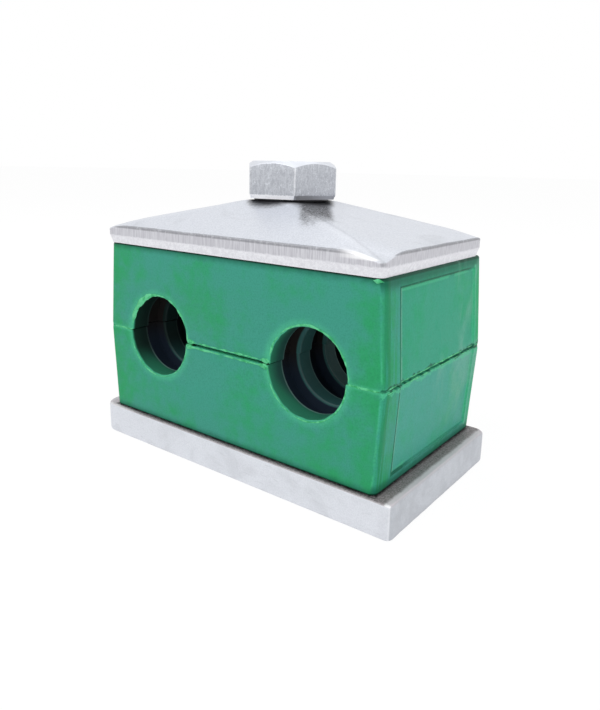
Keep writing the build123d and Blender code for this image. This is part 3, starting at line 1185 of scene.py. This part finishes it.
def makeBolt():
    b = bolt
    # extra turns close to the corners keep them crisp
    offsets = [-30, -29.6, -28.8, -26, -23, -20, -16, -12, -8, -4, 0, 4, 8, 12, 16, 20, 23, 26, 28.8, 29.6]
    turns = [radians(60 * k + offset) for k in range(6) for offset in offsets]
    spun = Spun(turns, radians(b["turn"] + 30))
    reach = [hexReach(b["acrossFlats"], turn, b["cornerCut"]) for turn in turns]
    rim = spinCrown(spun, reach)
    spinFoot(spun, reach, rim)
    spun.ring(b["neckRadius"], seatZ + b["lift"])
    spun.ring(b["major"], seatZ - b["neckEnds"][0])
    spun.ring(b["minor"], seatZ - b["neckEnds"][1])
    spinThread(spun)
    spun.ring(b["tipRadius"], boltTip)
    return skinPiece("hexBolt", spun.rings, 30, caps=True)


def makeNut():
    b, n = bolt, nut
    spun = Spun([2 * pi * i / 96 for i in range(96)])
    low, high = plateTop - n["collarHeight"], plateTop + n["height"]
    flat = n["acrossFlats"] / 2
    corner = flat / cos(pi / 6)
    reach = [hexReach(n["acrossFlats"], turn, 0.05) for turn in spun.turns]
    drop = [n["chamferDrop"] * (r - flat) / (corner - flat) for r in reach]
    spun.ring(n["collarRadius"], low)
    spun.ring(n["collarRadius"], plateTop)
    spun.ring(reach, plateTop)
    spun.ring(reach, [high - d - 0.05 for d in drop])
    spun.ring([r - 0.05 for r in reach], [high - d for d in drop])
    spun.ring(flat - 0.1, high)
    spun.ring(b["major"] + b["play"] + 0.5, high)
    count = int((high - low) / (b["pitch"] / 10))
    for i in range(count + 1):
        z = high - (high - low) * i / count
        spun.ring([threadRadius(turn, z) + b["play"] for turn in spun.turns], z)
    return skinPiece("weldNut", spun.rings, 30, wrap=True)


def fastenerFinish(name):
    s, b = zinc, bolt
    f = Finish(bpy.data.materials.new(name))
    x, y, z = f.axes(f.place())
    nx, ny, nz = f.facing()
    upright = f.fade(abs(nz), 0.3, 0.6)
    fine = f.grain(scale=5.0)
    draw = f.grain(scale=1.0, stretch=(4.0, 4.0, 1.0))
    cloud = f.grain(scale=0.45)
    blot = f.grain(scale=1.8, rough=0.7)
    f.colour = f.tint(f.span(cloud, 0.35, 0.7) * 0.4, s["bright"], s["soft"])
    side = f.tint(f.span(draw * 0.5 + fine * 0.5, 0.36, 0.64), *b["faces"])
    side = f.tint(f.span(blot, 0.57, 0.68) * 0.5, side, s["bright"])
    f.coat(side, upright)
    # painted reflection on the bevel round the foot of the head, dim on two faces, and a painted highlight
    # on the corners above it
    washerTop = seatZ + b["lift"] + b["washerRise"]
    skirt = washerTop + b["underBevel"]
    onHead = z > seatZ
    foot = f.fade(z + (fine - 0.5) * 0.4, skirt - 0.05, skirt + 0.08) * onHead * (nz < 0.3)
    footReflectionTone = f.tint((nx > 0.5).most(ny > 0.5), b["footReflectionTone"], s["dim"])
    f.coat(footReflectionTone, foot * f.span(fine + blot * 0.5, 0.4, 0.75, 0.6, 0.95))
    ridge = f.span((x ** 2.0 + y ** 2.0) ** 0.5, *b["ridge"]) * upright * onHead * f.span(blot, 0.3, 0.5)
    f.coat(b["ridgeHighlightTone"], ridge * 0.4)
    # painted shade under the head
    shaded = f.fade(z, washerTop - 0.04, washerTop + 0.02) * (z > seatZ - 1.0)
    f.coat(b["shadeTone"], shaded)
    rough = b["rough"] + (fine - 0.5) * 0.25 + upright * 0.08
    return f.close(rough, s["metallic"], fine * 0.01 + upright * draw * 0.012)


settle(makeBolt(), "bolt", fastenerFinish("boltZinc"), "hex_bolt")
settle(makeNut(), "base", fastenerFinish("nutZinc"), "weld_nut")


# floor, light and camera
studio = {
    "floorHalf": 6.0,
    "floorDrop": 0.00005,
    "floorTone": 0.95,
    "floorGlow": 1.04,
    "shadowKept": 0.12,
    "ambient": 0.62,
    "lamps": (
        # name, azimuth, elevation, distance, size, watts
        ("keyLamp", -20, 48, 0.55, 0.45, 0.9),
        ("sideLamp", 72, 30, 0.6, 0.4, 0.7),
        ("topLamp", 200, 70, 0.6, 0.5, 0.3),
    ),
}
view = {
    "azimuth": 36.822,
    "elevation": 11.684,
    "roll": 1.265,
    "distance": 104.436,
    "right": 1.874,
    "up": 5.473,
    "lens": 32.44,
    "shiftY": -0.0775,
}


def seenRays(f):  # what the camera sees, straight or through a mirror or glass
    rays = f.add("LightPath")
    return rays.most(rays.other("Is Glossy Ray")).most(rays.other("Is Transmission Ray"))


def makeFloor():
    r, z = studio["floorHalf"], -studio["floorDrop"]
    mesh = bpy.data.meshes.new("floor")
    mesh.from_pydata([(-r, -r, z), (r, -r, z), (r, r, z), (-r, r, z)], [], [(0, 1, 2, 3)])
    floor = addObject("floor", mesh)
    f = Finish(bpy.data.materials.new("paleFloor"))
    paper = f.add("BsdfDiffuse", None, {"Color": (studio["floorTone"],) * 3 + (1.0,)})
    lit = f.add("Emission", None, {"Color": (1, 1, 1, 1), "Strength": studio["floorGlow"]})
    mix = f.add("MixShader", None, {0: seenRays(f) * (1 - studio["shadowKept"]), 1: paper, 2: lit})
    f.add("OutputMaterial", None, {0: mix})
    mesh.materials.append(f.owner)


def makeWorld():
    scene.world = bpy.data.worlds.new("studio")
    f = Finish(scene.world)
    soft = f.add("Background", None, {"Color": (1, 1, 1, 1), "Strength": studio["ambient"]})
    white = f.add("Background", None, {"Color": (1, 1, 1, 1), "Strength": 1.0})
    mix = f.add("MixShader", None, {0: seenRays(f), 1: soft, 2: white})
    f.add("OutputWorld", None, {0: mix})


def aimed(azimuth, elevation):
    a, e = radians(azimuth), radians(elevation)
    return Vector((sin(a) * cos(e), -cos(a) * cos(e), sin(e)))


def makeLamps():
    middle = Vector((0, 0, partingZ * mm))
    for name, azimuth, elevation, distance, size, watts in studio["lamps"]:
        data = bpy.data.lights.new(name, "AREA")
        data.size = size
        data.energy = watts
        lamp = addObject(name, data)
        back = aimed(azimuth, elevation)
        lamp.location = middle + back * distance
        lamp.rotation_euler = back.to_track_quat("Z", "Y").to_euler()


def makeCamera():
    v = view
    back = aimed(v["azimuth"], v["elevation"])
    level = Vector((cos(radians(v["azimuth"])), sin(radians(v["azimuth"])), 0))
    raised = back.cross(level)
    turn = radians(v["roll"])
    right = cos(turn) * level + sin(turn) * raised
    up = cos(turn) * raised - sin(turn) * level
    place = Vector((0, 0, partingZ)) + back * v["distance"] + right * v["right"] + up * v["up"]
    data = bpy.data.cameras.new("camera")
    data.lens = v["lens"]
    data.sensor_width = 36
    data.sensor_fit = "AUTO"
    data.shift_y = v["shiftY"]
    data.clip_start = 0.005
    camera = addObject("camera", data)
    matrix = camera.matrix_world.copy()
    for row in range(3):
        matrix[row][0], matrix[row][1], matrix[row][2] = right[row], up[row], back[row]
        matrix[row][3] = place[row] * mm
    camera.matrix_world = matrix
    scene.camera = camera


makeFloor()
makeWorld()
makeLamps()
makeCamera()
scene.view_settings.view_transform = "Standard"
print("lit and framed")
